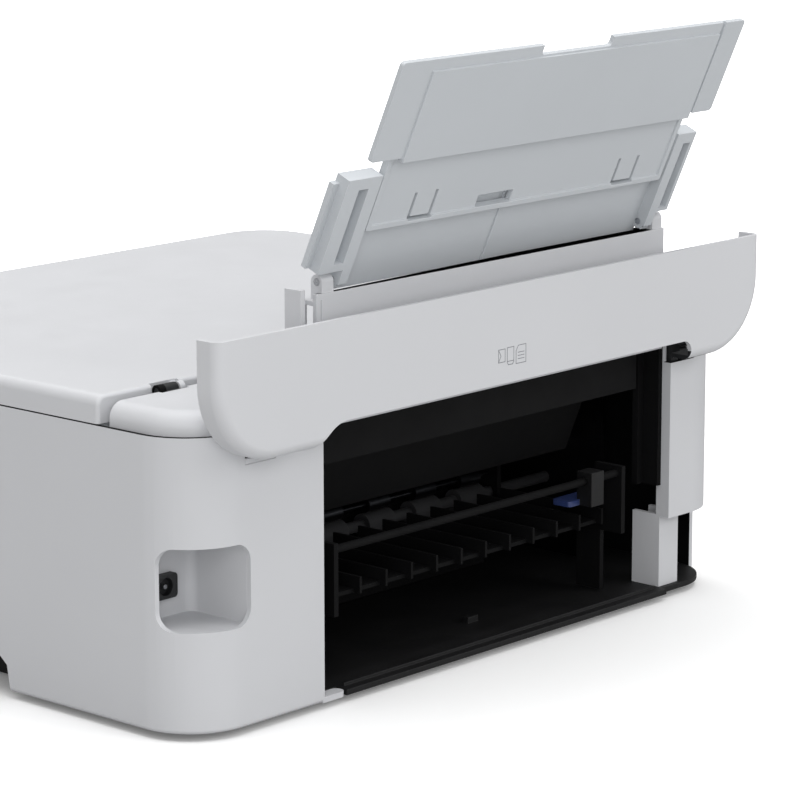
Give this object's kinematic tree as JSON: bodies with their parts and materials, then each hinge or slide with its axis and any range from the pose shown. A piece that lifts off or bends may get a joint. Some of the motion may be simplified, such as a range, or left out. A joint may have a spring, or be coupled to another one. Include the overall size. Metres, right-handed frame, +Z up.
{
  "type": "inkjet printer",
  "caption": "Desktop inkjet all-in-one with a flatbed scanner, an open rear feeder flap, a raised telescoping paper support and a straight rear card path.",
  "frame": {"origin": "centre of the casing's footprint on the surface it stands on, under the middle foot", "axes": "+X to the right seen from the front, -Y out of the front, +Z up"},
  "size_m": [0.403, 0.3953, 0.3114],
  "materials": {
    "shell_light": "fine moulded texture",
    "support_grey": "fine moulded texture",
    "black_plastic": "satin",
    "gear_nylon": "satin",
    "steel": "brushed",
    "rubber": "matte",
    "foam": "matte",
    "board_green": "satin",
    "clear_glass": "polished",
    "tab_blue": "satin"
  },
  "bodies": {
    "root": {"body_shell": "shell_light", "base_tray": "black_plastic", "feet": "rubber", "inlet_recess": "black_plastic", "power_inlet": "black_plastic", "power_supply": "black_plastic", "rear_deck": "shell_light", "lid_hinges": "black_plastic", "flap_hubs": "black_plastic", "tower_guides": "black_plastic", "side_frames": "steel", "rail_beam": "steel", "carriage_shaft": "steel", "platen": "black_plastic", "drive_belt": "rubber", "motors": "steel", "capping_station": "black_plastic", "waste_pad": "foam", "main_board": "board_green", "feed_chute": "black_plastic", "ink_window": "clear_glass", "ink_tanks": "black_plastic"},
    "scanner": {"scanner_tub": "black_plastic", "glass_frame": "black_plastic", "scanner_glass": "clear_glass", "sensor_rod": "steel"},
    "sensor": {"sensor_bar": "black_plastic"},
    "lid": {"lid": "shell_light", "lid_pad": "foam"},
    "flap": {"flap": "shell_light"},
    "tower": {"tower": "support_grey"},
    "edge_guide_left": {"edge_guide_left": "support_grey"},
    "edge_guide_right": {"edge_guide_right": "support_grey"},
    "support_base": {"support_base": "support_grey", "support_pins": "steel"},
    "support_mid": {"support_mid": "support_grey"},
    "support_top": {"support_top": "support_grey"},
    "panel": {"control_panel": "shell_light", "display_screen": "clear_glass"},
    "home_key": {"home_key": "black_plastic"},
    "power_key": {"power_key": "black_plastic"},
    "tray": {"output_tray": "black_plastic"},
    "tray_extension": {"tray_extension": "black_plastic"},
    "cassette": {"cassette": "black_plastic"},
    "cassette_guide_left": {"cassette_guide_left": "black_plastic"},
    "cassette_guide_right": {"cassette_guide_right": "black_plastic"},
    "carriage": {"carriage": "black_plastic", "print_head": "black_plastic", "ink_dampers": "black_plastic"},
    "drive_pulley": {"drive_pulley": "gear_nylon"},
    "idler_pulley": {"idler_pulley": "gear_nylon"},
    "feed_roller": {"feed_roller": "rubber", "feed_gear": "gear_nylon"},
    "exit_roller": {"exit_roller": "rubber", "exit_gear": "gear_nylon"},
    "idler_gear": {"idler_gear": "gear_nylon"},
    "motor_pinion": {"motor_pinion": "gear_nylon"},
    "pinch_rollers": {"pinch_rollers": "rubber"},
    "star_wheels": {"star_wheels": "gear_nylon"},
    "width_tab": {"width_tab": "tab_blue"}
  },
  "joints": [
    {"name": "scanner_hinge", "type": "hinge", "parent": "root", "child": "scanner", "pos_m": [0, 0.116, 0.1544], "axis": [-1, 0, 0], "range_deg": [0, 30]},
    {"name": "lid_hinge", "type": "hinge", "parent": "scanner", "child": "lid", "pos_m": [0, 0.116, 0.1544], "axis": [-1, 0, 0], "range_deg": [0, 70]},
    {"name": "sensor_slide", "type": "slide", "parent": "scanner", "child": "sensor", "axis": [1, 0, 0], "range_m": [0, 0.265]},
    {"name": "flap_hinge", "type": "hinge", "parent": "root", "child": "flap", "pos_m": [0, 0.1705, 0.136], "axis": [1, 0, 0], "range_deg": [0, 14]},
    {"name": "tower_lift", "type": "slide", "parent": "root", "child": "tower", "axis": [0, 0, 1], "range_m": [-0.035, 0]},
    {"name": "support_tilt", "type": "hinge", "parent": "tower", "child": "support_base", "pos_m": [0, 0.1665, 0.2046], "axis": [1, 0, 0], "range_deg": [0, 24]},
    {"name": "support_mid_slide", "type": "slide", "parent": "support_base", "child": "support_mid", "axis": [0, 0.4067, 0.9135], "range_m": [-0.024, 0]},
    {"name": "support_top_slide", "type": "slide", "parent": "support_mid", "child": "support_top", "axis": [0, 0.4067, 0.9135], "range_m": [-0.036, 0]},
    {"name": "edge_guide_left_slide", "type": "slide", "parent": "tower", "child": "edge_guide_left", "axis": [1, 0, 0], "range_m": [0, 0.07]},
    {"name": "edge_guide_right_slide", "type": "slide", "parent": "tower", "child": "edge_guide_right", "axis": [1, 0, 0], "range_m": [-0.07, 0]},
    {"name": "panel_tilt", "type": "hinge", "parent": "root", "child": "panel", "pos_m": [0, -0.168, 0.1068], "axis": [-1, 0, 0], "range_deg": [0, 45]},
    {"name": "home_key_press", "type": "slide", "parent": "panel", "child": "home_key", "axis": [0, 1, 0], "range_m": [0, 0.0008], "stiffness_N_per_m": 400},
    {"name": "power_key_press", "type": "slide", "parent": "panel", "child": "power_key", "axis": [0, 1, 0], "range_m": [0, 0.0008], "stiffness_N_per_m": 400},
    {"name": "tray_slide", "type": "slide", "parent": "root", "child": "tray", "axis": [0, -1, 0], "range_m": [0, 0.11]},
    {"name": "tray_extension_slide", "type": "slide", "parent": "tray", "child": "tray_extension", "axis": [0, -1, 0], "range_m": [0, 0.08]},
    {"name": "cassette_slide", "type": "slide", "parent": "root", "child": "cassette", "axis": [0, -1, 0], "range_m": [0, 0.2]},
    {"name": "cassette_guide_left_slide", "type": "slide", "parent": "cassette", "child": "cassette_guide_left", "axis": [1, 0, 0], "range_m": [0, 0.04]},
    {"name": "cassette_guide_right_slide", "type": "slide", "parent": "cassette", "child": "cassette_guide_right", "axis": [1, 0, 0], "range_m": [-0.04, 0]},
    {"name": "carriage_slide", "type": "slide", "parent": "root", "child": "carriage", "axis": [1, 0, 0], "range_m": [-0.215, 0]},
    {"name": "drive_pulley_spin", "type": "hinge", "parent": "root", "child": "drive_pulley", "pos_m": [0.136, 0.07, 0.096], "axis": [0, 1, 0], "range_deg": [-2060, 0]},
    {"name": "idler_pulley_spin", "type": "hinge", "parent": "root", "child": "idler_pulley", "pos_m": [-0.158, 0.07, 0.096], "axis": [0, 1, 0], "range_deg": [-2060, 0]},
    {"name": "feed_spin", "type": "hinge", "parent": "root", "child": "feed_roller", "pos_m": [0, 0.072, 0.048], "axis": [1, 0, 0], "continuous": true},
    {"name": "exit_spin", "type": "hinge", "parent": "root", "child": "exit_roller", "pos_m": [0, -0.006, 0.048], "axis": [1, 0, 0], "continuous": true},
    {"name": "idler_spin", "type": "hinge", "parent": "root", "child": "idler_gear", "pos_m": [0, 0.033, 0.048], "axis": [1, 0, 0], "continuous": true},
    {"name": "pinion_spin", "type": "hinge", "parent": "root", "child": "motor_pinion", "pos_m": [0, 0.072, 0.076], "axis": [1, 0, 0], "continuous": true},
    {"name": "pinch_spin", "type": "hinge", "parent": "root", "child": "pinch_rollers", "pos_m": [0, 0.072, 0.0584], "axis": [1, 0, 0], "continuous": true},
    {"name": "star_spin", "type": "hinge", "parent": "root", "child": "star_wheels", "pos_m": [0, -0.006, 0.0584], "axis": [1, 0, 0], "continuous": true},
    {"name": "width_tab_slide", "type": "slide", "parent": "root", "child": "width_tab", "axis": [1, 0, 0], "range_m": [0, 0.06]}
  ],
  "couplings": [
    {"joint": "support_tilt", "follows": "tower_lift", "rad_per_m": -11.96},
    {"joint": "edge_guide_right_slide", "follows": "edge_guide_left_slide", "ratio": -1},
    {"joint": "cassette_guide_right_slide", "follows": "cassette_guide_left_slide", "ratio": -1},
    {"joint": "drive_pulley_spin", "follows": "carriage_slide", "rad_per_m": 166.67},
    {"joint": "idler_pulley_spin", "follows": "carriage_slide", "rad_per_m": 166.67},
    {"joint": "exit_spin", "follows": "feed_spin", "ratio": 1},
    {"joint": "idler_spin", "follows": "feed_spin", "ratio": -1.0526},
    {"joint": "pinion_spin", "follows": "feed_spin", "ratio": -2.5},
    {"joint": "pinch_spin", "follows": "feed_spin", "ratio": -1.5},
    {"joint": "star_spin", "follows": "feed_spin", "ratio": -1.5}
  ]
}
